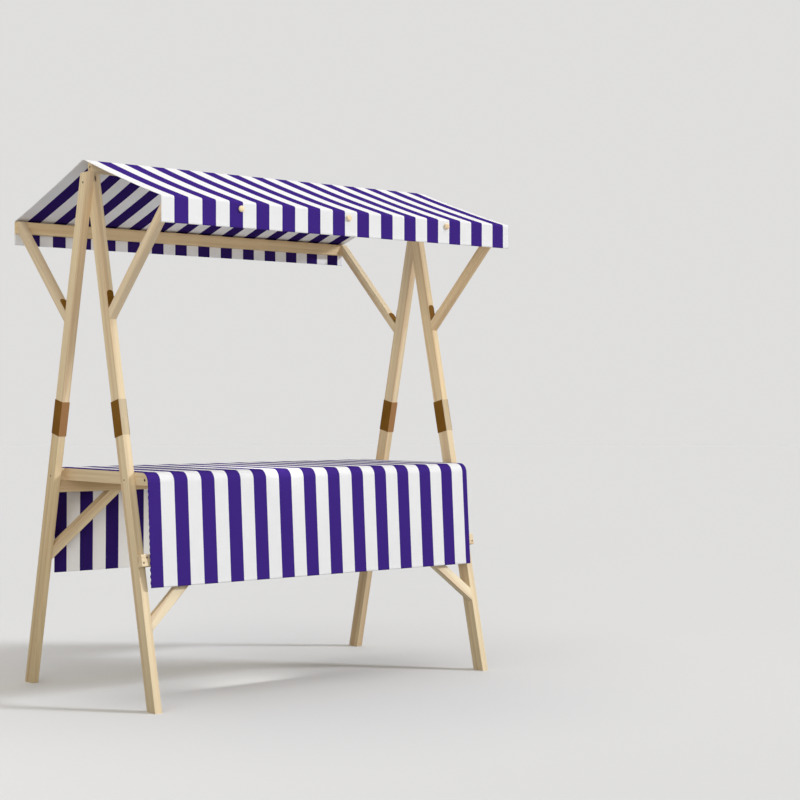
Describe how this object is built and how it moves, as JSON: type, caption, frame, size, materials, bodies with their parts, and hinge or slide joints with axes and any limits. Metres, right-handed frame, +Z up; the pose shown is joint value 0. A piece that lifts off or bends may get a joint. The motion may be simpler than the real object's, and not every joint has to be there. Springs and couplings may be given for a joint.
{
  "type": "wooden market stall",
  "caption": "Wooden market stall on leaning A-frames, with a striped fabric roof hanging down at both eaves, braces, steel leg joints and a table under a striped cloth.",
  "frame": {"origin": "on the floor under the middle of the stall", "axes": "X along the stall, from the left end to the right end seen from the front; -Y towards the front; Z up"},
  "size_m": [1.673, 1.164, 2.0478],
  "materials": {
    "wood": "planed pale pine, satin",
    "plywood": "bare plywood",
    "steel": "brown paint, satin",
    "striped_fabric": "woven, purple and white stripes"
  },
  "bodies": {
    "root": {"back_left_corner_strap": "steel", "back_left_eave_brace": "wood", "back_left_leg_lower": "wood", "back_left_leg_sleeve": "steel", "back_left_leg_upper": "wood", "back_left_table_brace": "wood", "back_right_corner_strap": "steel", "back_right_eave_brace": "wood", "back_right_leg_lower": "wood", "back_right_leg_sleeve": "steel", "back_right_leg_upper": "wood", "back_right_table_brace": "wood", "canopy": "striped_fabric", "front_cross_rail": "wood", "front_eave_beam": "wood", "front_left_corner_strap": "steel", "front_left_eave_brace": "wood", "front_left_knob": "wood", "front_left_leg_lower": "wood", "front_left_leg_sleeve": "steel", "front_left_leg_upper": "wood", "front_left_table_brace": "wood", "front_middle_knob": "wood", "front_right_corner_strap": "steel", "front_right_eave_brace": "wood", "front_right_knob": "wood", "front_right_leg_lower": "wood", "front_right_leg_sleeve": "steel", "front_right_leg_upper": "wood", "front_right_table_brace": "wood", "front_table_rail": "wood", "left_side_rail": "wood", "left_spacer_block": "wood", "low_rear_rail": "wood", "rear_eave_beam": "wood", "rear_left_knob": "wood", "rear_middle_knob": "wood", "rear_right_knob": "wood", "rear_table_rail": "wood", "ridge_beam": "wood", "right_side_rail": "wood", "right_spacer_block": "wood", "table_cloth": "striped_fabric", "table_panel": "plywood"}
  },
  "joints": []
}
